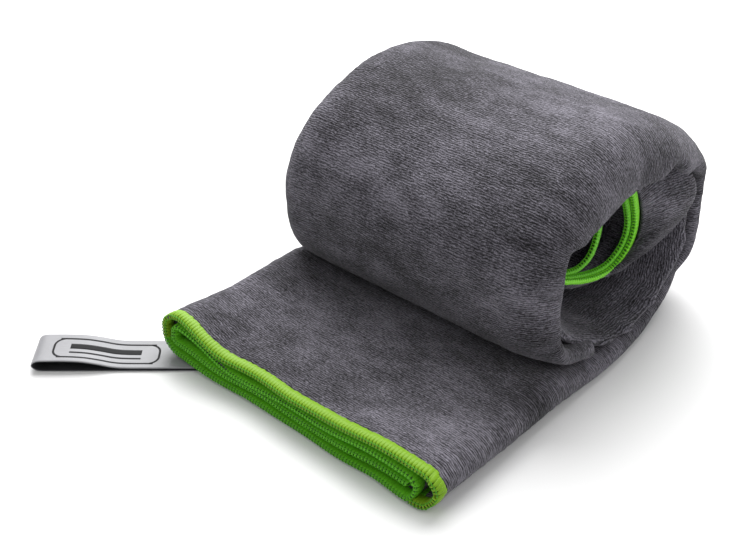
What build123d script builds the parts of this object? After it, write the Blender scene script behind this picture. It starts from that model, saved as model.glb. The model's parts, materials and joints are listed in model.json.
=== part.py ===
from build123d import *
from math import cos, pi, radians, sin
import os

# A quick dry towel: folded in four lengthwise, rolled up, with its loose end lying flat and
# a hanging loop sewn to the corner of that end. Sizes are millimetres.
# Frame: +X along the roll, the loose end points to -Y, +Z up. The origin is the middle of
# the roll's underside.

# The cloth and how it is folded
STRIP_WIDTH = 190.0         # width of the folded towel, along the roll
PLIES = 4                   # layers in the folded strip
CLOTH = 2.4                 # thickness of one layer of pile cloth
PLY_PITCH = 3.2             # from one layer to the next
TURN_UNDER = 6.0            # flat part of the top layer's long edge, turned under at +X
FOLD_SPACE = 1.0            # from that edge's thread to the fold beside it
EDGE_INSET = 0.5            # from the inner long edge to the fold that it lies in
WRAP_GAP = 0.5              # between one turn of the roll and the next

# The roll and the loose end
ROLL_DEPTH = 172.0          # along Y
ROLL_HEIGHT = 130.0         # along Z
ROLL_TURNS = 3.05           # turns from the middle of the underside to the core end
UNDERSIDE_SPREAD = 0.5      # how much the roll's own weight flattens it, 0 for an ellipse
FLAT_FOOT = 6.0             # how much further back the underside stays flat on the first turn
FLAP_REACH = 176.0          # from the origin to the front edge of the loose end
HINGE_REACH = 61.0          # from the origin to the line where the loose end bends up
FLEX_GAP = 0.4              # between the loose end and the roll at that line
SPIRAL_POINTS = 24          # points per turn that carry the spiral

# The overlocked edging
EDGING_THREAD = 0.35        # thread lying on each face of the cloth
EDGING_WIDTH = 5.5          # from its outer face inwards
EDGING_PURL = 0.9           # thread standing in front of the cut edge
BARE_EDGE_TURNS = 0.75      # how far the long edges show along the core

# The hanging loop
TAPE_WIDTH = 25.0
FACE_TAPE = 0.5             # grey ribbon on the outside of the loop
BACKING_TAPE = 0.5          # black tape on the inside
LOOP_ANGLE = 42.0           # degrees that the loop points away from -X, towards -Y
LOOP_HINGE = 5.0            # from the towel's corner to the line where the loop bends up
LOOP_REACH = 70.0           # from that line to the far end of the loop
LOOP_GAP = 5.4              # clear height inside the open end
LOOP_OPEN = 24.0            # length of the upper run that keeps the full height
LOOP_CLOSE = 24.0           # length over which the two runs come together
ROOT_LENGTH = 34.0          # doubled tape sewn under the towel's corner
TAPE_GAP = 0.2              # between the two runs where they lie together
FLEX_SLIT = 0.3             # between the free loop and its sewn root
BARTACK_LENGTH = 18.0       # dense bar of stitches across the tape
BARTACK_WIDTH = 2.0
BARTACK_INSET = 8.0         # from the root's hidden end to the bar

STACK = (PLIES - 1) * PLY_PITCH + CLOTH
PITCH = STACK + WRAP_GAP
LIFT = EDGING_THREAD        # the edging holds the loose end's cloth this far off the ground
HALF = STRIP_WIDTH / 2
CORE_Y = -PITCH / 4         # makes the roll as deep in front of the origin as behind it
RADIUS_Y = ROLL_DEPTH / 2 + PITCH / 2
RADIUS_Z = ROLL_HEIGHT / 2 + PITCH / 4
FRONT_Y = -FLAP_REACH
FLAP_END_Y = -HINGE_REACH - FLEX_GAP
BARE_TURN = ROLL_TURNS - BARE_EDGE_TURNS
DOUBLED_TAPE = 2 * (FACE_TAPE + BACKING_TAPE) + TAPE_GAP


def level(ply):
    """Height of a layer's middle above the strip's outer face; layer 0 is the outer one."""
    return CLOTH / 2 + ply * PLY_PITCH


def bend(x, low, high, side):
    """A half-round fold joining two layers at x, bulging towards side (+1 or -1)."""
    radius = (level(high) - level(low)) / 2
    middle = (level(high) + level(low)) / 2
    return ThreePointArc((x, level(low)), (x + side * radius, middle), (x, level(high)))


def run(start, end, ply):
    """A flat stretch of one layer."""
    return Line((start, level(ply)), (end, level(ply)))


RIGHT = HALF - STACK / 2             # where the top layer starts to bend down at +X
LEFT = -RIGHT
TURNED_EDGE = RIGHT - TURN_UNDER     # the long edge that is turned under
FOLD_REACH = (level(2) - level(0) + CLOTH) / 2 + EDGING_THREAD
INNER_FOLD = TURNED_EDGE - EDGING_PURL - FOLD_SPACE - FOLD_REACH
INNER_EDGE = INNER_FOLD - EDGE_INSET


def fold_line():
    """The towel's cross-section as one line, from one cut long edge to the other.

    The top layer turns down and under at +X. Inside it the lowest layer folds up over the
    second one from the ground, which carries the other long edge.
    """
    return Wire([
        run(TURNED_EDGE, RIGHT, 0),
        bend(RIGHT, 0, 3, 1),
        run(RIGHT, LEFT, 3),
        bend(LEFT, 0, 3, -1),
        run(LEFT, INNER_FOLD, 0),
        bend(INNER_FOLD, 0, 2, 1),
        run(INNER_FOLD, LEFT, 2),
        bend(LEFT, 1, 2, -1),
        run(LEFT, INNER_EDGE, 1),
    ])


def folded_strip(thickness, plane, length):
    """The folded cross-section, thickened and extruded from a plane along its normal."""
    profile = plane * trace(fold_line(), thickness)
    return extrude(profile, amount=length, dir=plane.z_dir)


def facing(origin, forward):
    """A plane with X along the roll and its normal along forward, for a strip's profile.

    The profile's height then runs from the strip's outer face to its inner one.
    """
    return Plane(origin=origin, x_dir=(1, 0, 0), z_dir=-forward)


def spiral_point(turn, depth=0.0):
    """A point of the rolled strip, depth inside its outer face, as (y, z).

    Turns count from the middle of the underside, up the back, over the top and down.
    """
    y, z = outer_point(turn)
    y_next, z_next = outer_point(turn + 1e-4)
    tangent = Vector(y_next - y, z_next - z).normalized()
    return (y - depth * tangent.Y, z + depth * tangent.X)


def outer_point(turn):
    """A point of the rolled strip's outer face, as (y, z)."""
    angle = 2 * pi * turn
    spread = 1 + UNDERSIDE_SPREAD * max(cos(angle), 0) ** 2
    foot = FLAT_FOOT * cos(angle) ** 2 if turn < 0.25 else 0
    y = CORE_Y + foot + (RADIUS_Y - PITCH * turn) * sin(angle) * spread
    z = RADIUS_Z - (RADIUS_Z - PITCH * turn) * cos(angle)
    return (y, z)


def spiral_curve(depth, first, last):
    """One face of the rolled strip as a smooth curve in the YZ plane."""
    count = round((last - first) * SPIRAL_POINTS)
    turns = [first + (last - first) * i / count for i in range(count + 1)]
    return Spline(*[spiral_point(turn, depth) for turn in turns])


def rolled_band(low, high, first, last, x_low, x_high):
    """The part of the roll between two depths, two turns and two places along X."""
    outer = spiral_curve(low, first, last)
    inner = spiral_curve(high, first, last)
    ends = [Line(outer @ 1, inner @ 1), Line(inner @ 0, outer @ 0)]
    section = Plane.YZ.offset(x_low) * make_face([outer, inner] + ends)
    return extrude(section, amount=x_high - x_low, dir=(1, 0, 0))


def slab(x_low, x_high, y_low, y_high, z_low, z_high):
    """A box between two corners."""
    size = (x_high - x_low, y_high - y_low, z_high - z_low)
    middle = ((x_high + x_low) / 2, (y_high + y_low) / 2, (z_high + z_low) / 2)
    return Pos(*middle) * Box(*size)


def bare_edges():
    """The long edges' overlocking where it shows, on two layers at the core's +X side."""
    thickness = CLOTH + 2 * EDGING_THREAD
    low_sides = [STACK - thickness, STACK - PLY_PITCH - thickness]
    return [
        rolled_band(low, low + thickness, BARE_TURN, ROLL_TURNS, HALF - EDGING_WIDTH, HALF)
        for low in low_sides
    ]


def core_plane():
    """The plane across the strip at the core end, facing onwards along the strip."""
    here = Vector(0, *spiral_point(ROLL_TURNS))
    there = Vector(0, *spiral_point(ROLL_TURNS + 1e-4))
    return facing(here, there - here)


def rolled_cloth():
    """The rolled part of the towel: its four layers as one thick strip, then its end."""
    flat_start = slab(-HALF, HALF, -HINGE_REACH, outer_point(0)[0], 0, STACK)
    turns = rolled_band(0, STACK, 0, BARE_TURN, -HALF, HALF)
    core = rolled_band(0, STACK, BARE_TURN, ROLL_TURNS, -HALF, HALF - EDGING_WIDTH)
    end = folded_strip(CLOTH, core_plane(), -(EDGING_WIDTH - EDGING_PURL))
    return flat_start + turns + core + end


def core_end_edging():
    """The green overlocking on the towel's inner short edge."""
    plane = core_plane()
    thread = folded_strip(CLOTH + 2 * EDGING_THREAD, plane, -EDGING_WIDTH)
    return thread - folded_strip(CLOTH, plane, -(EDGING_WIDTH - EDGING_PURL))


def loop_frame():
    """Origin at the towel's front corner on the ground, X along the loop, Z up."""
    direction = (-cos(radians(LOOP_ANGLE)), -sin(radians(LOOP_ANGLE)), 0)
    return Plane(origin=(-HALF, FRONT_Y, 0), x_dir=direction, z_dir=(0, 0, 1))


def along_loop(s_low, s_high, width, z_low, z_high):
    """A box in the loop's frame, centred across the tape."""
    return loop_frame().location * slab(s_low, s_high, -width / 2, width / 2, z_low, z_high)


def loop_root_block():
    """The room that the loop's sewn root takes under the towel's corner."""
    return along_loop(LOOP_HINGE - ROOT_LENGTH, LOOP_HINGE, TAPE_WIDTH, 0, DOUBLED_TAPE)


def loop_bartack():
    """The bar of stitches that holds the loop to the towel."""
    start = LOOP_HINGE - ROOT_LENGTH + BARTACK_INSET
    return along_loop(start, start + BARTACK_WIDTH, BARTACK_LENGTH, 0, DOUBLED_TAPE)


def flap_cloth():
    """The loose end's four layers, pressed thinner where the loop is sewn on."""
    start = FRONT_Y + EDGING_PURL
    plane = facing((0, start, LIFT), Vector(0, 1, 0))
    return folded_strip(CLOTH, plane, -(FLAP_END_Y - start)) - loop_root_block()


def front_edging():
    """The green overlocking on the outer short edge, following every fold."""
    plane = facing((0, FRONT_Y, LIFT), Vector(0, 1, 0))
    thread = folded_strip(CLOTH + 2 * EDGING_THREAD, plane, -EDGING_WIDTH)
    return thread - flap_cloth() - loop_root_block()


def side_edging():
    """The overlocking on the two long edges, inside the loose end's folds."""
    turned = TURNED_EDGE - EDGING_PURL
    inner = INNER_EDGE + EDGING_PURL
    edges = long_edge(turned, turned + EDGING_WIDTH, 0) + long_edge(inner - EDGING_WIDTH, inner, 1)
    return edges - flap_cloth()


def long_edge(x_low, x_high, ply):
    """The room that a long edge's overlocking takes on one layer of the loose end."""
    low = LIFT + level(ply) - CLOTH / 2 - EDGING_THREAD
    high = LIFT + level(ply) + CLOTH / 2 + EDGING_THREAD
    return slab(x_low, x_high, FRONT_Y + EDGING_WIDTH, FLAP_END_Y, low, high)


def loop_outline(inset):
    """The loop's side view as a filled shape, inset from its outer surface."""
    end = LOOP_HINGE + LOOP_REACH
    height = LOOP_GAP + 2 * (FACE_TAPE + BACKING_TAPE)
    bulge = end - height / 2
    crest = bulge - LOOP_OPEN
    foot = crest - LOOP_CLOSE
    slope = Spline(
        (crest, height - inset), (foot, DOUBLED_TAPE - inset), tangents=[(-1, 0), (-1, 0)]
    )
    far_end = ThreePointArc(
        (bulge, inset), (end - inset, height / 2), (bulge, height - inset)
    )
    return make_face([
        Line((0, inset), (bulge, inset)),
        far_end,
        Line((bulge, height - inset), (crest, height - inset)),
        slope,
        Line((foot, DOUBLED_TAPE - inset), (0, DOUBLED_TAPE - inset)),
        Line((0, DOUBLED_TAPE - inset), (0, inset)),
    ])


def tape_layer(outside, inside):
    """The free loop's tape between two insets from its outer surface."""
    side_view = Plane.XZ.offset(-TAPE_WIDTH / 2) * (loop_outline(outside) - loop_outline(inside))
    tape = extrude(side_view, amount=TAPE_WIDTH, dir=(0, -1, 0))
    free = LOOP_HINGE + FLEX_SLIT
    tape = tape & slab(free, LOOP_HINGE + LOOP_REACH + 1, -TAPE_WIDTH, TAPE_WIDTH, -1, 99)
    return loop_frame().location * tape


def parts():
    """Every piece of the towel by its node's name."""
    return {
        "rolled_cloth": rolled_cloth(),
        "core_end_edging": core_end_edging(),
        "core_side_edging": Compound(children=[e for edge in bare_edges() for e in edge.solids()]),
        "flap_cloth": flap_cloth(),
        "front_edging": front_edging(),
        "flap_side_edging": side_edging(),
        "loop_root": loop_root_block() - loop_bartack(),
        "loop_bartack": loop_bartack(),
        "loop_face_tape": tape_layer(0, FACE_TAPE),
        "loop_backing_tape": tape_layer(FACE_TAPE, FACE_TAPE + BACKING_TAPE),
    }


os.makedirs("parts", exist_ok=True)
for name, piece in parts().items():
    export_step(piece, f"parts/{name}.step")
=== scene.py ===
import json
from math import pi, radians

import bpy
import numpy as np
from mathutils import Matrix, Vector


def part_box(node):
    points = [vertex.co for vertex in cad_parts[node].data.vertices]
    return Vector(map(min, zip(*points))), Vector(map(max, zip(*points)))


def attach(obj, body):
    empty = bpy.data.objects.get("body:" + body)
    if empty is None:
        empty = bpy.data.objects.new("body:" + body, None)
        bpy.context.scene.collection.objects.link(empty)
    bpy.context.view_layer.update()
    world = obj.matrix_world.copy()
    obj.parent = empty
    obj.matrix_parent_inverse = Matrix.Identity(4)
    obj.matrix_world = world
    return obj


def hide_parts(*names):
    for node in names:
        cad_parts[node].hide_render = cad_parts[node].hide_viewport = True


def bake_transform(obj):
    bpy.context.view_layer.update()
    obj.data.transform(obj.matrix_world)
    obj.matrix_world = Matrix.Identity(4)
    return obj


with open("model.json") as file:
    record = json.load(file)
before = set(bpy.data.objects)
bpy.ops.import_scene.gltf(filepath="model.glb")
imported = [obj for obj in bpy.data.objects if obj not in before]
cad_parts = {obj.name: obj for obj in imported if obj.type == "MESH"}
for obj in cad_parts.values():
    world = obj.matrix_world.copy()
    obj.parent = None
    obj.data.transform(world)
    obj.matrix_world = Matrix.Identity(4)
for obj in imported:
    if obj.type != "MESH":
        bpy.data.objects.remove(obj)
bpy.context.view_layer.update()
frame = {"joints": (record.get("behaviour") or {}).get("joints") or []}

# A rolled quick dry towel. The cloth is one panel, folded lengthwise into a strip of four
# layers and rolled up. Every point of it is worked out from two distances: s, along the
# strip from its front edge, and w, the place in the fold, counted in segments:
#   0 turned long edge, 1 top layer, 2 left fold, 3 outer layer, 4 right fold,
#   5 second layer, 6 inner left fold, 7 third layer, which carries the other long edge.
# Lengths are metres.

MM = 0.001
roll_low, roll_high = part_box("rolled_cloth")
flap_low, flap_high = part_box("flap_cloth")
joints = {joint["name"]: joint for joint in frame["joints"]}

# The cloth and its fold, as the frame has them
CLOTH = 2.4 * MM
PLY_PITCH = 3.2 * MM
STACK = 3 * PLY_PITCH + CLOTH
WRAP_PITCH = STACK + 0.5 * MM
HALF_WIDTH = flap_high.x
LEFT_BEND = -HALF_WIDTH + STACK / 2
RIGHT_BEND = HALF_WIDTH - STACK / 2
TURNED_EDGE = 6 * MM
INNER_FOLD = 76.4 * MM
FRONT_Y = flap_low.y
LIFT = 0.4 * MM

# The roll
RADIUS_Y = (roll_high.y - roll_low.y) / 2 + WRAP_PITCH / 2
RADIUS_Z = roll_high.z / 2 + WRAP_PITCH / 4
CORE_Y = -WRAP_PITCH / 4
UNDERSIDE_SPREAD = 0.5
FLAT_FOOT = 6 * MM
TURNS = 3.05
CURL_START = 63 * MM          # where the roll's right end begins to curl inwards
ROLLED_REACH = 66 * MM        # where the top layer ends beside the turned edge, once rolled
# The inner turns are modelled only this far right, so that the hollow in front of them looks
# dark. The real cloth goes on to the right end; inner_turn_ends stands for what is missing.
INNER_REACH = 8 * MM
FIRST_TURN_END = 1.02         # turns; here roll_outer_layer hands over to roll_inner_turns

# The loose end, looser than the roll
FRONT_SPREAD = 5.5 * MM       # how much wider its right-hand folds bow out
DRAWN_IN = 4 * MM             # how much narrower the strip is beyond the loose end
LOOSE_FLUFF = 0.66            # how much thicker its stack of layers is
CORNER_RISE = 4.0 * MM        # how much its left side stands up

# The edging
EDGING_WIDTH = 5.5 * MM
STITCH_PITCH = 2.0 * MM


# ---------------------------------------------------------------- small tools
def smooth(x):
    """A soft step from 0 to 1."""
    x = np.clip(x, 0, 1)
    return x * x * (3 - 2 * x)


def hump(x, middle, reach):
    """A soft hump of height 1, no wider than reach on each side."""
    return smooth(1 - np.abs(x - middle) / reach)


def through(x, *knots):
    """A smooth course through (place, value) pairs."""
    places, values = (np.array(k, float) for k in zip(*knots))
    i = np.clip(np.searchsorted(places, x) - 1, 0, len(places) - 2)
    t = smooth((x - places[i]) / (places[i + 1] - places[i]))
    return values[i] + (values[i + 1] - values[i]) * t


def lumps(u, v, size, seed):
    """Soft random lumps, from -1 to 1, of about that size (across, along)."""
    grid = np.random.default_rng(seed).uniform(-1, 1, (64, 64))
    a, b = u / size[0], v / size[1]
    i, j = np.floor(a).astype(int), np.floor(b).astype(int)
    f, g = smooth(a - i), smooth(b - j)
    near = grid[i % 64, j % 64] * (1 - f) + grid[(i + 1) % 64, j % 64] * f
    far = grid[i % 64, (j + 1) % 64] * (1 - f) + grid[(i + 1) % 64, (j + 1) % 64] * f
    return near * (1 - g) + far * g


def course(points, count):
    """count points of a smooth curve through the given ones, evenly spaced."""
    points = np.array(points, float)
    padded = np.vstack([2 * points[0] - points[1], points, 2 * points[-1] - points[-2]])
    t = np.linspace(0, len(points) - 1, 40 * len(points))
    i = np.minimum(t.astype(int), len(points) - 2)
    f = (t - i)[:, None]
    p0, p1, p2, p3 = (padded[i + k] for k in range(4))
    fine = 0.5 * (2 * p1 + (p2 - p0) * f + (2 * p0 - 5 * p1 + 4 * p2 - p3) * f ** 2
                  + (3 * p1 - p0 - 3 * p2 + p3) * f ** 3)
    gone = np.r_[0, np.cumsum(np.linalg.norm(np.diff(fine, axis=0), axis=1))]
    even = np.linspace(0, gone[-1], count)
    return np.stack([np.interp(even, gone, fine[:, k]) for k in range(3)], 1)


def unit(v):
    return v / np.maximum(np.linalg.norm(v, axis=-1, keepdims=True), 1e-12)


def surface_normals(grid):
    """Unit normals of a grid of points: along the rows crossed with across them."""
    return unit(np.cross(np.gradient(grid, axis=0), np.gradient(grid, axis=1)))


# ---------------------------------------------------------------- meshes
def quads(rows, columns, start=0, closed=False):
    """Corner numbers of a grid's faces; a closed grid joins its last column to its first."""
    last = columns if closed else columns - 1
    i, j = np.meshgrid(np.arange(rows - 1), np.arange(last), indexing="ij")
    k = (j + 1) % columns
    a, b = i * columns + j, i * columns + k
    return np.stack([a, a + columns, b + columns, b], -1).reshape(-1, 4) + start


def make_piece(name, vertices, faces, material, lie=None):
    """A smooth mesh object. lie is the place of each vertex on the flat cloth."""
    mesh = bpy.data.meshes.new(name)
    mesh.from_pydata(vertices.reshape(-1, 3).tolist(), [], faces.tolist())
    if lie is None:
        lie = vertices
    place = mesh.attributes.new("lie", "FLOAT_VECTOR", "POINT")
    place.data.foreach_set("vector", np.ascontiguousarray(lie.reshape(-1, 3), np.float32).ravel())
    mesh.validate()
    mesh.shade_smooth()
    mesh.materials.append(material)
    piece = bpy.data.objects.new(name, mesh)
    bpy.context.scene.collection.objects.link(piece)
    return piece


def shell(name, outer, inner, material, lie):
    """Two grids of points, the cloth's two faces, closed round their borders."""
    rows, columns = outer.shape[:2]
    count = rows * columns
    back = quads(rows, columns, count)[:, ::-1]
    number = np.arange(count).reshape(rows, columns)
    border = np.r_[number[0, :-1], number[:-1, -1], number[-1, :0:-1], number[:0:-1, 0]]
    after = np.roll(border, -1)
    rim = np.stack([border, border + count, after + count, after], 1)[:, ::-1]
    faces = np.vstack([quads(rows, columns), back, rim])
    vertices = np.concatenate([outer.reshape(-1, 3), inner.reshape(-1, 3)])
    return make_piece(name, vertices, faces, material, np.concatenate([lie, lie]))


def tubes(name, paths, half_sizes, sides, material, turn_to):
    """Many short tubes in one mesh. paths is (tube, point, xyz), turn_to each tube's wide way."""
    many, points = paths.shape[:2]
    along = unit(np.gradient(paths, axis=1))
    thick = unit(np.cross(along, turn_to))
    wide = np.cross(thick, along)
    angle = np.linspace(0, 2 * pi, sides, endpoint=False)
    ring = (wide[:, :, None] * (np.cos(angle)[:, None] * half_sizes[..., 0, None, None])
            + thick[:, :, None] * (np.sin(angle)[:, None] * half_sizes[..., 1, None, None]))
    vertices = paths[:, :, None] + ring
    one = quads(points, sides, closed=True)
    low, high = np.arange(sides)[::-1], np.arange(sides) + (points - 1) * sides
    offsets = np.arange(many) * points * sides
    faces = (one[None] + offsets[:, None, None]).reshape(-1, 4).tolist()
    for o in offsets:
        faces += [(low + o).tolist(), (high + o).tolist()]
    mesh = bpy.data.meshes.new(name)
    mesh.from_pydata(vertices.reshape(-1, 3).tolist(), [], faces)
    mesh.validate()
    mesh.shade_smooth()
    mesh.materials.append(material)
    piece = bpy.data.objects.new(name, mesh)
    bpy.context.scene.collection.objects.link(piece)
    return piece


# ---------------------------------------------------------------- materials
class Recipe:
    """Builds one procedural material, node by node."""

    def __init__(self, name):
        self.material = bpy.data.materials.new(name)
        self.material.use_nodes = True
        self.tree = self.material.node_tree
        self.shader = self.tree.nodes["Principled BSDF"]

    def node(self, kind, settings=(), **inputs):
        made = self.tree.nodes.new("ShaderNode" + kind)
        for key, value in dict(settings).items():
            setattr(made, key, value)
        for key, value in inputs.items():
            self.put(made, key.replace("_", " "), value)
        return made

    def put(self, node, socket, value):
        target = node.inputs[socket]
        if isinstance(value, bpy.types.NodeSocket):
            self.tree.links.new(value, target)
        else:
            target.default_value = value

    def math(self, operation, a, b=0.0):
        made = self.tree.nodes.new("ShaderNodeMath")
        made.operation = operation
        self.put(made, 0, a)
        self.put(made, 1, b)
        return made.outputs[0]

    def place(self, scale):
        """The flat cloth's own coordinates, scaled."""
        where = self.node("Attribute", {"attribute_name": "lie"}).outputs["Vector"]
        return self.node("Mapping", Vector=where, Scale=scale).outputs["Vector"]

    def noise(self, scale, detail=2.0, roughness=0.5):
        return self.node("TexNoise", Vector=self.place(scale), Scale=1.0,
                         Detail=detail, Roughness=roughness).outputs["Fac"]

    def ramp(self, factor, *stops):
        made = self.node("ValToRGB", Fac=factor)
        band = made.color_ramp
        while len(band.elements) < len(stops):
            band.elements.new(0.5)
        for element, (position, colour) in zip(band.elements, stops):
            element.position = position
            element.color = (*colour, 1)
        return made.outputs["Color"]

    def bump(self, height, distance, strength=1.0):
        made = self.node("Bump", Height=height, Distance=distance, Strength=strength)
        self.put(self.shader, "Normal", made.outputs["Normal"])

    def finish(self, roughness, sheen=0.0, sheen_roughness=0.5, specular=0.3):
        for key, value in (("Roughness", roughness), ("Sheen Weight", sheen),
                           ("Sheen Roughness", sheen_roughness),
                           ("Specular IOR Level", specular)):
            self.shader.inputs[key].default_value = value
        return self.material


def grey(value):
    """A dark grey, slightly violet."""
    return (value, value * 0.945, value * 1.12)


def pile_material():
    """Grey microfibre pile: fine loops in short dashes along X, brushed into soft patches."""
    recipe = Recipe("microfibre_pile")
    wales = recipe.node("TexWave", {"wave_type": "BANDS", "bands_direction": "Y"},
                        Vector=recipe.place((120, 230, 230)), Scale=1.0, Distortion=7.0, Detail=2.0,
                        Detail_Scale=1.6, Detail_Roughness=0.6).outputs["Fac"]
    dashes = recipe.noise((500, 960, 960), 2, 0.6)
    fibres = recipe.noise((1300, 2000, 2000), 2, 0.6)
    brushed = recipe.noise((60, 95, 95), 3, 0.55)
    broad = recipe.noise((11, 17, 17), 2, 0.5)
    tone = recipe.math("MULTIPLY", wales, 0.10)
    for part, share in ((dashes, 0.30), (fibres, 0.26), (brushed, 0.18), (broad, 0.24)):
        tone = recipe.math("ADD", tone, recipe.math("MULTIPLY", part, share))
    colour = recipe.ramp(tone, (0.42, grey(0.005)), (0.50, grey(0.036)), (0.565, grey(0.096)),
                         (0.66, grey(0.215)))
    recipe.put(recipe.shader, "Base Color", colour)
    height = recipe.math("ADD", recipe.math("MULTIPLY", wales, 0.25),
                         recipe.math("MULTIPLY", dashes, 0.75))
    recipe.bump(height, 1.25 * MM, 1.0)
    return recipe.finish(0.92, sheen=0.12, sheen_roughness=0.5, specular=0.10)


def thread_material(name, dark, light):
    """Glossy overlock thread: fine filaments along each stitch."""
    recipe = Recipe(name)
    filaments = recipe.noise((2600, 2600, 2600), 2, 0.6)
    patches = recipe.noise((90, 90, 90), 2, 0.5)
    tone = recipe.math("ADD", recipe.math("MULTIPLY", filaments, 0.5),
                       recipe.math("MULTIPLY", patches, 0.5))
    recipe.put(recipe.shader, "Base Color", recipe.ramp(tone, (0.36, dark), (0.62, light)))
    recipe.bump(filaments, 0.12 * MM, 0.6)
    return recipe.finish(0.5, sheen=0.03, specular=0.22)


def tape_material(name, dark, light, roughness):
    """Woven tape: fine ribs across it and a faint warp along it."""
    recipe = Recipe(name)
    ribs = recipe.node("TexWave", {"wave_type": "BANDS", "bands_direction": "X"},
                       Vector=recipe.place((1, 1, 1)), Scale=420.0, Distortion=0.6,
                       Detail=1.0).outputs["Fac"]
    warp = recipe.noise((150, 2600, 1), 2, 0.6)
    worn = recipe.noise((60, 60, 60), 3, 0.55)
    tone = recipe.math("ADD", recipe.math("MULTIPLY", warp, 0.45),
                       recipe.math("MULTIPLY", worn, 0.55))
    recipe.put(recipe.shader, "Base Color", recipe.ramp(tone, (0.3, dark), (0.7, light)))
    recipe.bump(recipe.math("ADD", recipe.math("MULTIPLY", ribs, 0.5), warp), 0.10 * MM, 0.5)
    return recipe.finish(roughness, sheen=0.05, specular=0.25)


PILE = pile_material()
# One real thread, in the three greens that it shows in the photo, painted as lit and shaded copies
# of one material: a yellower lit copy on the top edge (painted light), a brightened copy on the
# outermost arc of the core (painted highlight), and a greener copy tuned to the plies in shade
# everywhere else (painted shade)
GREEN_LIT_TOP = thread_material("green_overlock_thread", (0.115, 0.25, 0.004), (0.20, 0.375, 0.008))
GREEN_HIGHLIGHT_ARC = thread_material("highlight_painted_overlock_thread", (0.10, 0.40, 0.01), (0.24, 0.72, 0.03))
GREEN_SHADE_TUNED = thread_material("shade_tuned_overlock_thread", (0.05, 0.27, 0.006),
                             (0.16, 0.56, 0.016))
# A fourth, darker copy of the same thread for the purl: painted shade between the purl loops
GREEN_PURL_SHADE = thread_material("shade_painted_purl_thread", (0.03, 0.20, 0.006), (0.09, 0.36, 0.012))
TAPE_FACE = tape_material("grey_satin_tape", (0.205, 0.205, 0.216),
                          (0.255, 0.255, 0.268), 0.42)
TAPE_BACK = tape_material("black_tape", (0.006, 0.006, 0.008), (0.02, 0.02, 0.024), 0.7)
PRINT = tape_material("black_print", (0.003, 0.003, 0.004), (0.008, 0.008, 0.009), 0.8)
TACK = thread_material("dark_tack_thread", (0.02, 0.02, 0.022), (0.07, 0.07, 0.075))


# ---------------------------------------------------------------- the cloth's shape
def spiral(turn):
    """The roll's outer face by turns from the middle of its underside."""
    angle = 2 * pi * turn
    spread = 1 + UNDERSIDE_SPREAD * np.maximum(np.cos(angle), 0) ** 2
    foot = np.where(turn < 0.25, FLAT_FOOT * np.cos(angle) ** 2, 0)
    y = CORE_Y + foot + (RADIUS_Y - WRAP_PITCH * turn) * np.sin(angle) * spread
    return y, RADIUS_Z - (RADIUS_Z - WRAP_PITCH * turn) * np.cos(angle)


ROUTE_TURN = np.r_[np.full(80, 0.0), np.linspace(0, TURNS, 1600)]
ROUTE_Y, ROUTE_Z = spiral(ROUTE_TURN)
ROUTE_Y[:80] = np.linspace(FRONT_Y, ROUTE_Y[80], 81)[:80]
ROUTE_S = np.r_[0, np.cumsum(np.hypot(np.diff(ROUTE_Y), np.diff(ROUTE_Z)))]
FLAT_END = ROUTE_S[80]        # where the strip leaves the ground behind the roll
STRIP_END = ROUTE_S[-1]
HEADING = unit(np.stack([np.gradient(ROUTE_Y), np.gradient(ROUTE_Z)], 1))


def at_turn(turn):
    """Distance along the strip at a number of turns."""
    return np.interp(turn, ROUTE_TURN[80:], ROUTE_S[80:])


def fold(s, w, turn):
    """x and depth of the cloth's middle, and the distance round the fold."""
    rolled = smooth((turn - 0.03) / 0.16)
    inner = smooth((turn - 0.945) / 0.06)
    drawn_in = DRAWN_IN * smooth((s - 150 * MM) / (60 * MM))
    wide = FRONT_SPREAD * (1 - rolled)
    right_a = (RIGHT_BEND + (ROLLED_REACH - RIGHT_BEND) * rolled) * (1 - inner)
    right_a = right_a + inner * INNER_REACH - drawn_in - wide
    right_b = (INNER_FOLD + (lip_at(turn) - INNER_FOLD) * rolled) * (1 - inner)
    right_b = right_b + inner * INNER_REACH - drawn_in
    droop = pi * (1 - 0.9 * rolled)
    turned = TURNED_EDGE * (0.7 - 0.2 * rolled)
    level = [CLOTH / 2 + ply * PLY_PITCH for ply in range(4)]
    big, middle, small = 1.5 * PLY_PITCH, PLY_PITCH, PLY_PITCH / 2
    part = np.clip(w.astype(int), 0, 7)
    t = w - part
    tail = np.clip(1 - t / 0.3, 0, 1) * turned
    turned_by = droop * np.clip((1 - t) / 0.7, 0, 1)
    x0 = right_a + (big + wide) * np.sin(turned_by) + tail * np.cos(turned_by)
    d0 = level[3] - big + big * np.cos(turned_by) - tail * np.sin(turned_by)
    run = {1: (right_a, LEFT_BEND, 3), 3: (LEFT_BEND, right_b, 0),
           5: (right_b, LEFT_BEND, 2), 7: (LEFT_BEND, right_b - 0.5 * MM, 1)}
    bends = {2: (LEFT_BEND, -1, big, level[0] + big, 1), 4: (right_b, 1, middle, level[0] + middle, -1),
             6: (LEFT_BEND, -1, small, level[1] + small, 1)}
    x, depth, across = x0, d0, -right_a - tail - big * turned_by
    turn_left = -2 * LEFT_BEND + big * pi
    starts = {2: -LEFT_BEND, 4: right_b + turn_left,
              6: 2 * right_b + turn_left + middle * pi - LEFT_BEND}
    for k, (begin, end, ply) in run.items():
        here = part == k
        place = begin + (end - begin) * t
        x = np.where(here, place, x)
        depth = np.where(here, level[ply], depth)
        gone = {1: -place, 3: place + turn_left,
                5: 2 * right_b - place + turn_left + middle * pi,
                7: 2 * right_b + turn_left + middle * pi - 2 * LEFT_BEND + small * pi + place}[k]
        across = np.where(here, gone, across)
    for k, (centre, side, radius, height, sense) in bends.items():
        here = part == k
        bow = radius + (0.35 * wide if k == 4 else 0)
        x = np.where(here, centre + side * bow * np.sin(pi * t), x)
        depth = np.where(here, height + sense * radius * np.cos(pi * t), depth)
        across = np.where(here, starts[k] + radius * pi * t, across)
    return x, depth, across


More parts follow.
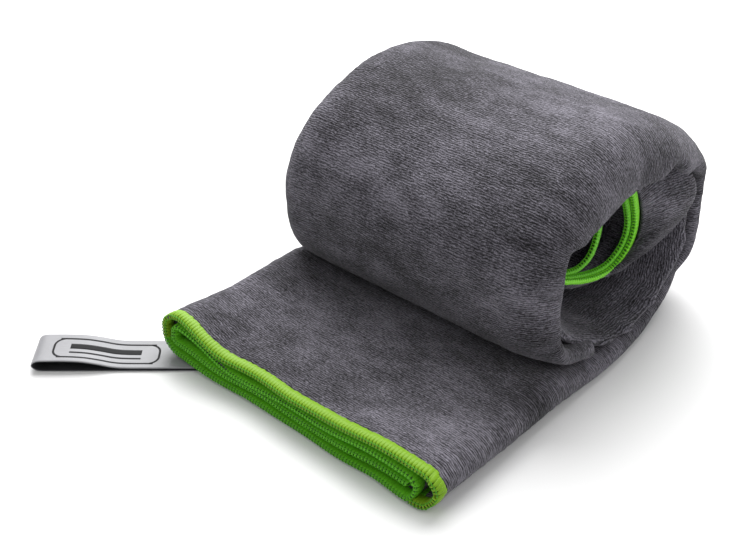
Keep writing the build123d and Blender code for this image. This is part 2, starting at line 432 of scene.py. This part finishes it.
def curl_at(turn):
    """How strongly the roll's right end curls inwards, by turns: 1 over its radius."""
    return through(turn, (0.0, 0.1), (0.08, 16), (0.17, 34), (0.25, 36), (0.32, 29), (0.375, 33),
                   (0.42, 32), (0.5, 42), (0.66, 44), (0.76, 41), (0.84, 30), (0.91, 10), (1.0, 1),
                   (4, 0.1))


def lip_at(turn):
    """How far the outer layer's cloth goes, measured round the curled right end, by turns."""
    return MM * through(turn, (0.1, 90), (0.28, 90), (0.35, 96), (0.385, 103), (0.42, 97),
                        (0.46, 106), (0.56, 110), (0.62, 106), (0.655, 97), (0.72, 99), (0.8, 97),
                        (0.9, 94), (1, 94))


def cloth(s, w):
    """The middle of the cloth, and its place on the flat panel."""
    s, w = np.broadcast_arrays(np.asarray(s, float), np.asarray(w, float))
    turn = np.interp(s, ROUTE_S, ROUTE_TURN)
    x, depth, across = fold(s, w, turn)
    loose = 1 - smooth((s - 100 * MM) / (42 * MM))
    front = 1 - smooth(s / (60 * MM))
    fluff = 1 + loose * (LOOSE_FLUFF + 0.10 * front + 0.05 * lumps(x, s, (38 * MM, 42 * MM), 3)
                         + 0.26 * front * hump(x, 68 * MM, 42 * MM))
    ply = depth / STACK
    depth = depth * fluff + LIFT * loose
    depth = depth + loose * CORNER_RISE * (depth / STACK) * hump(x, -HALF_WIDTH, 45 * MM)
    x = np.minimum(x, LEFT_BEND + (x - LEFT_BEND) * (1 + 1.75 * (fluff - 1)))
    part_way = 4 * ply * (1 - ply)
    each = np.round(3 * ply)          # 0 to 3, so that each layer has lumps of its own
    apart = lumps(x + 300 * MM * each, s * 0, (34 * MM, 1), 25)
    depth = depth + front * 2.3 * MM * part_way * apart
    wrapped = smooth((turn - 0.05) / 0.1)
    dents = 1.1 * lumps(x, s, (52 * MM, 60 * MM), 5) + 0.5 * lumps(x, s, (22 * MM, 26 * MM), 8)
    depth = depth - dents * MM * wrapped * (1 - 0.7 * smooth((turn - 0.85) / 0.1))
    curl = curl_at(turn)
    beyond = np.maximum(x - CURL_START, 0)
    bent = np.minimum(x, CURL_START) + (1 / curl - depth) * np.sin(curl * beyond)
    sunk = 1 / curl - (1 / curl - depth) * np.cos(curl * beyond)
    x, depth = np.where(beyond > 0, bent, x), np.where(beyond > 0, sunk, depth)
    soft_end = smooth((-HALF_WIDTH + 16 * MM - x) / (16 * MM)) * wrapped * (1 - smooth(turn - 0.8))
    depth = depth + 3.5 * MM * soft_end ** 2
    uneven = 1.2 * lumps(turn, w * 0, (0.11, 1), 12) + 0.8 * lumps(turn, w * 0, (0.31, 1), 13)
    x = x + uneven * MM * wrapped
    y = np.interp(s, ROUTE_S, ROUTE_Y) + np.minimum(s, 0)
    z = np.interp(s, ROUTE_S, ROUTE_Z)
    ty, tz = (np.interp(s, ROUTE_S, HEADING[:, k]) for k in (0, 1))
    corner = hump(x, LEFT_BEND, 48 * MM) * (1 - smooth((s + 2 * MM) / (50 * MM)))
    front_wave = 0.9 * MM * lumps(x, across * 0, (34 * MM, 1), 21) * (1 - smooth(s / (40 * MM)))
    ragged = 1 + 0.9 * lumps(x + 200 * MM * each, s * 0, (30 * MM, 1), 27)
    recess = front * MM * (1.3 * part_way + 0.8 * ply) * ragged
    front_wave = front_wave - front * 2.6 * MM * (1 - ply) * hump(x, 74 * MM, 28 * MM)
    place = np.stack([x, y - depth * tz + front_wave + recess, z + depth * ty + 2.3 * MM * corner], -1)
    return place, np.stack([across, s, across * 0], -1)


def columns(*counts):
    """Places in the fold: one count of steps for each segment, from the first one named."""
    start, *steps = counts
    ends = [np.linspace(start + k, start + k + 1, n, endpoint=False) for k, n in enumerate(steps)]
    return np.r_[np.concatenate(ends), start + len(steps)]


def rows(*stretches):
    """Distances along the strip: (start, end, spacing) for each stretch."""
    parts = [np.linspace(a, b, max(2, round((b - a) / step)), endpoint=False)
             for a, b, step in stretches]
    return np.r_[np.concatenate(parts), stretches[-1][1]]


def cloth_piece(name, s, w, thickness=CLOTH + 0.3 * MM):
    """A stretch of the folded cloth, as a closed shell with pile on its outer face."""
    middle, lie = cloth(s[:, None], w[None, :])
    normal = surface_normals(middle)
    hem = np.minimum(smooth((s - 4.6 * MM) / (3 * MM)), smooth((STRIP_END - 4.6 * MM - s) / (3 * MM)))
    half = thickness / 2 * (0.62 + 0.38 * hem)[:, None]
    pile = (0.16 * lumps(lie[..., 0], lie[..., 1], (3.2 * MM, 2.4 * MM), 31)
            + 0.22 * lumps(lie[..., 0], lie[..., 1], (8 * MM, 7 * MM), 32)) * MM
    outer = middle + normal * (half + pile * hem[:, None])[..., None]
    inner = middle - normal * half[..., None]
    piece = shell(name, outer, inner, PILE, lie)
    return piece


def edging(name, edge, inward, facing, width=EDGING_WIDTH, half=1.0 * MM, seed=50,
           thread=GREEN_SHADE_TUNED, narrowed=1.0):
    """Overlock stitches round a cut edge, and the purl of crossed loops along it.

    edge holds the points of the cut edge, inward the way to the cloth and facing its normal.
    narrowed is the stitches' length past the edge's middle, as a share of width.
    """
    rng = np.random.default_rng(seed)
    gone = np.r_[0, np.cumsum(np.linalg.norm(np.diff(edge, axis=0), axis=1))]

    def at(where, values):
        return np.stack([np.interp(where, gone, values[:, k]) for k in range(3)], -1)

    centres = np.arange(STITCH_PITCH / 2, gone[-1], STITCH_PITCH)
    course_in = np.array([1.0, 0.85, 0.5, 0.16, -0.05, -0.05, 0.16, 0.5, 0.85, 1.0])
    rise = np.array([0.45, 0.94, 1.05, 0.98, 0.48, -0.48, -0.98, -1.05, -0.94, -0.45])
    slant = 0.25 * STITCH_PITCH
    length = width * (1 + rng.uniform(-0.05, 0.05, len(centres)))
    length = length * (1 - (1 - narrowed) * smooth((centres / gone[-1] - 0.42) / 0.16))
    where = centres[:, None] + slant * np.abs(np.linspace(-1, 1, len(rise)))[None]
    base, into, out = at(where, edge), unit(at(where, inward)), unit(at(where, facing))
    paths = (base + into * (length[:, None] * course_in)[..., None]
             + out * (rise * (half + 0.28 * MM))[None, :, None])
    along = unit(np.gradient(at(centres, edge), axis=0))
    sizes = np.zeros((len(centres), len(rise), 2))
    sizes[..., 0] = STITCH_PITCH * np.array([0.60, 0.80, 0.80, 0.60, 0.34,
                                             0.34, 0.60, 0.80, 0.80, 0.60])
    sizes[..., 1] = MM * np.array([0.20, 0.34, 0.36, 0.40, 0.50, 0.50, 0.40, 0.36, 0.34, 0.20])
    stitches = tubes(name + "_stitches", paths, sizes, 6, thread, along[:, None])
    fine = np.arange(0, gone[-1], STITCH_PITCH / 7)
    phase = 2 * pi * fine / STITCH_PITCH
    base, into, out = at(fine, edge), unit(at(fine, inward)), unit(at(fine, facing))
    made = [stitches]
    for k, (offset, side) in enumerate(((0.0, 1), (pi, -1))):
        sway = side * (half + 0.10 * MM) * (0.86 + 0.12 * np.sin(phase + offset))
        reach = (0.42 + 0.24 * np.cos(phase + offset)) * MM
        line = base - into * reach[:, None] + out * sway[:, None]
        thick = np.full((1, len(fine), 2), 0.27 * MM) * (1 + 0.42 * np.cos(phase))[None, :, None]
        # The purl uses the darker copy of the thread: painted shade
        made.append(tubes(f"{name}_purl_{k + 1}", line[None], thick, 7, GREEN_PURL_SHADE, out[None, :1]))
    return made


# ---------------------------------------------------------------- pieces of cloth
def build_flap():
    """The loose end, from its front edge to the middle of the roll's underside."""
    s = rows((0, 118 * MM, 1.4 * MM), (118 * MM, FLAT_END, 5 * MM))
    w = columns(0, 18, 124, 14, 16, 12, 12, 8, 12)
    flap = cloth_piece("loose_end_cloth", s, w)
    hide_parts("flap_cloth")
    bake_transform(flap)
    return flap


def build_front_edging():
    """Green overlock along the front edge: the top layer's, then round the three below it."""
    made = []
    upper = np.r_[columns(0, 40, 160), 2.15, 2.3, 2.45, 2.6]
    lower = np.r_[2.6, 2.7, 2.8, 2.9, columns(3, 160, 40, 160, 30, 160)]
    # Top layer in the lit copy of the thread (painted light), lower layers in the copy tuned to shade
    for name, w, half, thread in (("front_edging_top", upper, 1.15, GREEN_LIT_TOP),
                                  ("front_edging_lower", lower, 0.80, GREEN_SHADE_TUNED)):
        grid, _ = cloth(np.array([[0], [2.5 * MM]]), w[None, :])
        facing = surface_normals(grid)[0]
        made += edging(name, grid[0], unit(grid[1] - grid[0]), facing, width=6.8 * MM,
                       half=half * MM, thread=thread)
    for piece in made:
        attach(piece, "flap")
    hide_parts("front_edging")
    return made


def build_core_edging():
    """The same edging on the strip's other short edge, in the middle of the roll."""
    w = columns(0, 30, 60, 30, 60, 30, 60, 24, 60)
    s = np.array([STRIP_END - 2.5 * MM, STRIP_END])
    grid, _ = cloth(s[:, None], w[None, :])
    facing = surface_normals(grid)[0]
    made = edging("core_end_edging_thread", grid[1], unit(grid[0] - grid[1]), facing, seed=55)
    for piece in made:
        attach(piece, "roll")
    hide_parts("core_end_edging")
    return made


def build_side_edging():
    """The same edging along the two long edges, turned under and inside the fold."""
    made = []
    s = np.arange(6 * MM, 100 * MM, 2 * MM)
    for name, place, step in (("turned_edge", 0.0, 0.02), ("inner_edge", 8.0, -0.02)):
        grid, _ = cloth(s[:, None], np.array([place, place + step])[None, :])
        facing = surface_normals(grid)[:, 0]
        made += edging(name, grid[:, 0], unit(grid[:, 1] - grid[:, 0]), facing, half=0.9 * MM, seed=60)
    for piece in made:
        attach(piece, "flap")
    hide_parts("flap_side_edging")
    return made


def build_roll():
    """The rolled part of the strip, in stretches that meet where they can't be seen."""
    start, one, end = FLAT_END, at_turn(FIRST_TURN_END), STRIP_END
    seen = np.r_[np.linspace(1.9, 2, 3)[:-1], columns(2, 14, 112, 14), np.linspace(5.02, 5.2, 4)]
    outer = cloth_piece("roll_outer_layer", rows((start, one, 1.65 * MM)), seen)
    hidden = rows((start, one, 6 * MM))
    top = cloth_piece("roll_top_layer", hidden, np.r_[columns(0, 8), np.linspace(1.1, 1.9, 8)])
    inside = np.r_[np.linspace(5.2, 5.9, 8), 6, np.linspace(6.2, 7, 5), np.linspace(7.1, 8, 8)]
    middle = cloth_piece("roll_middle_layers", hidden, inside)
    every = columns(0, 6, 12, 10, 12, 8, 10, 6, 10)
    core = cloth_piece("roll_inner_turns", rows((one, end, 3 * MM)), every)
    made = [outer, top, middle, core]
    for piece in made:
        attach(piece, "roll")
    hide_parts("rolled_cloth")
    return made


# ---------------------------------------------------------------- the roll's right end
def patch(name, control, rows_count, columns_count, thickness, seed):
    """A closed sheet through a grid of points (rows by columns), in millimetres."""
    control = np.array(control, float) * MM
    lengthwise = np.stack([course(line, columns_count) for line in control])
    grid = np.stack([course(lengthwise[:, j], rows_count) for j in range(columns_count)], 1)
    lie = np.zeros_like(grid)
    lie[..., 0] = np.cumsum(np.r_[0, np.linalg.norm(np.diff(grid.mean(1), axis=0), axis=1)])[:, None]
    lie[..., 1] = np.cumsum(np.r_[0, np.linalg.norm(np.diff(grid.mean(0), axis=0), axis=1)])[None]
    normal = surface_normals(grid)
    if normal[..., 0].mean() < 0:
        normal = -normal
        grid, normal, lie = grid[::-1], normal[::-1], lie[::-1]
    pile = (0.16 * lumps(lie[..., 0], lie[..., 1], (3.2 * MM, 2.4 * MM), seed)
            + 0.35 * lumps(lie[..., 0], lie[..., 1], (11 * MM, 9 * MM), seed + 1)) * MM
    outer = grid + normal * (thickness / 2 + pile)[..., None]
    inner = grid - normal * thickness / 2
    piece = shell(name, outer, inner, PILE, lie + seed)
    return piece


# Hems that show in the core, from under the lip round to the lower left: x, y, z in mm.
# The cloth behind each one leads away from its centre.
HEM_1 = ((72, 1, 104), (74, 10, 92), (75, 15.5, 78), (75.5, 17, 66), (75, 13.5, 55), (74.5, 3, 48.5),
         (74, -9, 48.5), (73, -22, 51.5), (71, -38, 57.5), (69, -56, 66))
HEM_2 = ((70, -4, 104), (72, 5, 91), (73, 11, 78), (73.5, 12.5, 67), (73, 9.5, 57.5), (72.5, 0.5, 51.5),
         (72, -10, 51), (71, -22, 53.5), (69.5, -38, 59), (67, -56, 67))
HEM_3 = ((66, -13, 104), (68, -11, 92), (69, -10.5, 80), (69.5, -12.5, 70), (69.5, -17, 62),
         (69, -25, 58.5), (68.5, -33, 59.5), (67.5, -42, 62), (66, -52, 66), (64, -62, 70))
HEM_CENTRES = ((60, -16, 74), (60, -18, 74), (60, -36, 84))


def build_core_hems():
    """The long edges of the inner turns, with their green edging, and the cloth behind them."""
    made = []
    for k, hem in enumerate((HEM_1, HEM_2, HEM_3)):
        line = course(np.array(hem) * MM, 120)
        centre = np.array(HEM_CENTRES[k]) * MM
        away = unit(line - centre)
        inward = unit(away * np.array([0.2, 1, 1]) + np.array([-0.25, 0, 0]))
        facing = unit(np.cross(inward, unit(np.gradient(line, axis=0))))
        facing = np.where(facing[:, :1] < 0, -facing, facing)
        # The outermost hem gets the brightened copy of the thread (painted highlight), the others the
        # copy tuned to shade
        made += edging(f"core_hem_{k + 1}", line, inward, facing, width=5.6 * MM, half=0.9 * MM,
                       seed=70 + k, thread=GREEN_HIGHLIGHT_ARC if k == 0 else GREEN_SHADE_TUNED, narrowed=0.5)
        deep = [line + inward * r * MM + facing * (-0.15 * MM) + np.array([-b, 0, 0]) * MM
                for r, b in ((1.2, 0.2), (4, 0.8), (7, 4), (8, 12))]
        control = np.stack(deep)[:, ::6] / MM
        cloth_strip = patch(f"core_hem_cloth_{k + 1}", control, 14, 110, 1.8 * MM, 80 + 3 * k)
        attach(cloth_strip, "roll")
    for piece in made:
        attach(piece, "roll")
    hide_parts("core_side_edging")
    return made


def build_tongue():
    """The layer that folds in under the lip and carries the outermost hem of the core."""
    control = (
        ((60, 4, 108), (68, 14, 98), (74.5, 21.5, 82), (76.5, 23, 66), (75.5, 18, 53),
         (74, 4, 45.5), (73, -9, 45.5)),
        ((58, 16, 112), (66, 29, 101), (78.5, 34, 87), (84.5, 35, 74), (83, 29, 61),
         (79, 15, 50), (74, -3, 45)),
        ((56, 36, 112), (65, 48, 102), (79.5, 56, 89), (87, 60, 76), (86, 52, 63),
         (82, 34, 53), (75, 8, 44)),
        ((60, 46, 112), (66, 60, 102), (73, 68, 90), (76, 69, 72), (75, 56, 56),
         (70, 34, 47), (64, 8, 42)),
    )
    tongue = patch("tucked_in_layer", control, 60, 110, 3.0 * MM, 90)
    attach(tongue, "roll")
    return tongue


# Ridges pressed into the bowl: start and end (y, z), height and half width, in mm
RIDGES = (((-50, 48), (-14, 8), 5, 5), ((-24, 36), (8, 6), 4, 4),
          ((58, 44), (40, 8), 4, 5), ((22, 34), (26, 8), 2.5, 4))


def build_bowl():
    """A bowl behind the hems that stands for the ends of the inner turns."""
    angle = np.linspace(0, 2 * pi, 300)
    ratio = np.linspace(0.002, 1, 90)
    a, q = np.meshgrid(angle, ratio, indexing="ij")
    y = (-2 + 76 * q * np.cos(a)) * MM
    z = (64 + 57 * q * np.sin(a)) * MM
    low_side = hump(a, 1.55 * pi, 0.5 * pi)
    x = 14 + 68 * smooth((q - 0.62) / 0.24) + 7 * low_side * smooth((q - 0.5) / 0.35)
    uneven = 1.2 * np.sin(3 * a + 7 * q) + 1.2 * lumps(a * 50, q * 60, (18, 14), 44)
    x = x + uneven * (1 - smooth((q - 0.6) / 0.2))
    x = x - 44 * smooth((q - 0.86) / 0.14)
    for start, end, high, wide in RIDGES:
        line = np.array(end) - np.array(start)
        rel = np.stack([y / MM - start[0], z / MM - start[1]], -1)
        t = np.clip(rel @ line / (line @ line), 0, 1)
        off = np.linalg.norm(rel - t[..., None] * line, axis=-1)
        x = x + high * np.exp(-(off / wide) ** 2) * (1 - smooth((q - 0.82) / 0.1))
    x = x * MM
    grid = np.stack([x, y, z], -1)
    gone = np.cumsum(np.linalg.norm(np.diff(grid, axis=1, prepend=grid[:, :1]), axis=-1), axis=1)
    lie = np.stack([a * 55 * MM, gone, a * 0], -1)
    normal = surface_normals(grid)
    pile = 0.3 * MM * lumps(lie[..., 0], lie[..., 1], (4 * MM, 3 * MM), 97)
    pile = pile * (1 - smooth((q - 0.8) / 0.06))
    sign = 1 if normal[..., 0].mean() > 0 else -1
    outer = grid + sign * normal * (1.2 * MM + pile)[..., None]
    inner = grid - sign * normal * 1.2 * MM
    if sign < 0:
        outer, inner, lie = outer[::-1], inner[::-1], lie[::-1]
    bowl = shell("inner_turn_ends", outer, inner, PILE, lie)
    # Its flat size: the mean length of its rings, by the distance from middle to rim
    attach(bowl, "roll")
    return bowl


# ---------------------------------------------------------------- the hanging loop
LOOP_AXIS = np.array(joints["loop_lift"]["axis"])            # across the tape
LOOP_WAY = np.array([-LOOP_AXIS[1], LOOP_AXIS[0], 0])         # from the corner to the far end
LOOP_ORIGIN = np.array(joints["loop_lift"]["pos_m"]) * (1, 1, 0) - 5 * MM * LOOP_WAY
TAPE_WIDTH = 25 * MM
# The loop's outer surface seen from the side: distance from the corner, height, in mm
LOOP_LINE = ((-29, 0.05), (-10, 0.05), (10, 0.05), (30, 0.05), (50, 0.05), (64, 0.05), (71, 0.35),
             (74.4, 2.4), (74.6, 4.8), (71.4, 6.9), (64, 7.2), (55, 7.1), (46, 6.4), (38, 4.8),
             (31, 3.1), (24, 2.35), (10, 2.2), (-10, 2.2), (-29, 2.2))


def loop_point(along, height, side):
    """A point of the loop from its side view and its place across the tape."""
    wave = 0.25 * MM * lumps(along, side, (30 * MM, 14 * MM), 41) * smooth((along - 25 * MM) / (20 * MM))
    high = height + np.where(height > 1.5 * MM, wave + 0.6 * MM * (side / TAPE_WIDTH) ** 2, 0)
    spot = LOOP_ORIGIN + along[..., None] * LOOP_WAY - side[..., None] * LOOP_AXIS
    spot[..., 2] = high
    return spot


def ribbon(name, inset, thickness, material):
    """One tape of the loop, that far inside its outer surface."""
    line = course([(r, 0, z) for r, z in LOOP_LINE], 260)[:, [0, 2]] * MM
    way = unit(np.gradient(line, axis=0))
    outward = np.stack([way[:, 1], -way[:, 0]], 1)
    across = np.linspace(-TAPE_WIDTH / 2, TAPE_WIDTH / 2, 26)
    faces = []
    for depth in (inset, inset + thickness):
        face = line - outward * depth
        selvedge = 1 - 0.35 * smooth((np.abs(across) - TAPE_WIDTH / 2 + 1.2 * MM) / (1.2 * MM))
        middle = line - outward * (inset + thickness / 2)
        face = middle[:, None] + (face - middle)[:, None] * selvedge[None, :, None]
        side = np.broadcast_to(across, face.shape[:2])
        faces.append(loop_point(face[..., 0], face[..., 1], side))
    gone = np.r_[0, np.cumsum(np.linalg.norm(np.diff(line, axis=0), axis=1))]
    lie = np.stack(np.broadcast_arrays(gone[:, None], across[None], 0 * across[None]), -1)
    outer, inner = faces
    if np.cross(outer[1, 0] - outer[0, 0], outer[0, 1] - outer[0, 0])[2] > 0:
        outer, inner, lie = outer[:, ::-1], inner[:, ::-1], lie[:, ::-1]
    tape = shell(name, outer, inner, material, lie)
    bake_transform(tape)
    return tape


def on_tape(spots, width, name):
    """A printed line on the loop's upper run through (along, across) spots."""
    spots = np.array(spots)
    way = unit(np.gradient(spots, axis=0))
    out = np.stack([-way[:, 1], way[:, 0]], 1) * width / 2
    line = course([(r, 0, z) for r, z in LOOP_LINE[9:]], 200)[::-1] * MM
    faces = []
    for lift in (0.07 * MM, -0.15 * MM):
        sides = np.stack([spots + out * k for k in (1, 0.5, 0, -0.5, -1)], 1)
        height = np.interp(sides[..., 0], line[:, 0], line[:, 2]) + lift
        faces.append(loop_point(sides[..., 0], height, sides[..., 1]))
    outer, inner = faces
    if np.cross(outer[1, 0] - outer[0, 0], outer[0, 1] - outer[0, 0])[2] < 0:
        outer, inner = outer[:, ::-1], inner[:, ::-1]
    mark = shell(name, outer, inner, PRINT, outer)
    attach(mark, "loop")
    return mark


def build_loop():
    """The hanging loop: grey tape outside, black inside, a plain printed frame and bars."""
    face = ribbon("loop_face", 0.0, 0.5 * MM, TAPE_FACE)
    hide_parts("loop_face_tape", "loop_root")
    backing = ribbon("loop_backing", 0.52 * MM, 0.45 * MM, TAPE_BACK)
    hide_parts("loop_backing_tape")
    near, far, reach, corner = 6 * MM, 64 * MM, 8.4 * MM, 6 * MM
    angle = np.linspace(0, pi / 2, 12)
    frame_line = []
    for k, (r, v) in enumerate(((far, reach), (near, reach), (near, -reach), (far, -reach))):
        centre = np.array([r - corner * np.sign(r - 35 * MM), v - corner * np.sign(v)])
        turn = angle + k * pi / 2
        frame_line += [centre + corner * np.array([np.cos(b), np.sin(b)]) for b in turn]
    frame_line.append(frame_line[0])
    even = course([(a, b, 0) for a, b in frame_line], 260)[:, :2]
    on_tape(even, 1.2 * MM, "printed_frame")
    for k, (start, end, v, width) in enumerate(((16, 55, -1.6, 4.4), (16, 55, 3.9, 1.3))):
        bar = [(r * MM, v * MM) for r in np.linspace(start, end, 30)]
        on_tape(bar, width * MM, f"printed_bar_{k + 1}")
    tack = []
    for k in range(16):
        v = (-9 + 18 * k / 15) * MM
        spots = np.array([[-21.6, 2.25], [-21.2, 2.5], [-20, 2.6], [-18.8, 2.5], [-18.4, 2.25]]) * MM
        shifted = v + np.linspace(0, 1, 5) * 0.6 * MM
        tack.append(loop_point(spots[:, 0], spots[:, 1], shifted))
    tack = np.array(tack)
    sizes = np.full(tack.shape[:2] + (2,), 0.35 * MM)
    bartack = tubes("bartack", tack, sizes, 6, TACK, -LOOP_AXIS[None, None])
    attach(bartack, "flap")
    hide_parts("loop_bartack")


# ---------------------------------------------------------------- floor, light and camera
def build_stage():
    floor_material = Recipe("pale_floor")
    mottle = floor_material.noise((3, 3, 3), 2, 0.5)
    floor_material.put(floor_material.shader, "Base Color",
                       floor_material.ramp(mottle, (0.3, (0.72, 0.72, 0.72)), (0.7, (0.74, 0.74, 0.74))))
    floor_material.finish(0.9, specular=0.1)
    half = 6.0
    corners = np.array([[-half, -half, 0], [half, -half, 0], [half, half, 0], [-half, half, 0]])
    floor = make_piece("floor", corners, np.array([[0, 1, 2, 3]]), floor_material.material)
    world = bpy.data.worlds.new("studio")
    bpy.context.scene.world = world
    world.use_nodes = True
    background = world.node_tree.nodes["Background"]
    background.inputs["Color"].default_value = (1, 1, 1, 1)
    background.inputs["Strength"].default_value = 0.43


def area_light(name, place, aim, size, power):
    light = bpy.data.lights.new(name, "AREA")
    light.shape = "RECTANGLE"
    light.size, light.size_y = size
    light.energy = power
    lamp = bpy.data.objects.new(name, light)
    lamp.location = place
    direction = Vector(aim) - Vector(place)
    lamp.rotation_euler = direction.to_track_quat("-Z", "Y").to_euler()
    bpy.context.scene.collection.objects.link(lamp)


def build_light_and_camera():
    area_light("key", (-0.8, 1.05, 1.45), (0, 0, 0.05), (2.0, 2.0), 102)
    area_light("side", (1.2, 0.1, 1.2), (0, 0, 0.05), (1.2, 1.2), 8)
    area_light("fill", (-0.7, -1.2, 1.1), (0, 0, 0.05), (1.6, 1.0), 5)
    camera = bpy.data.objects.new("camera", bpy.data.cameras.new("camera"))
    camera.data.lens = 63.0
    camera.data.sensor_width = 36.0
    camera.location = (0.3666, -0.5286, 0.4365)
    camera.rotation_euler = (radians(56.23), 0, radians(41.75))
    bpy.context.scene.collection.objects.link(camera)
    bpy.context.scene.camera = camera
    bpy.context.scene.view_settings.view_transform = "Standard"


build_stage()
build_light_and_camera()
build_flap()
build_front_edging()
build_side_edging()
build_roll()
build_core_edging()
build_core_hems()
build_tongue()
build_bowl()
build_loop()
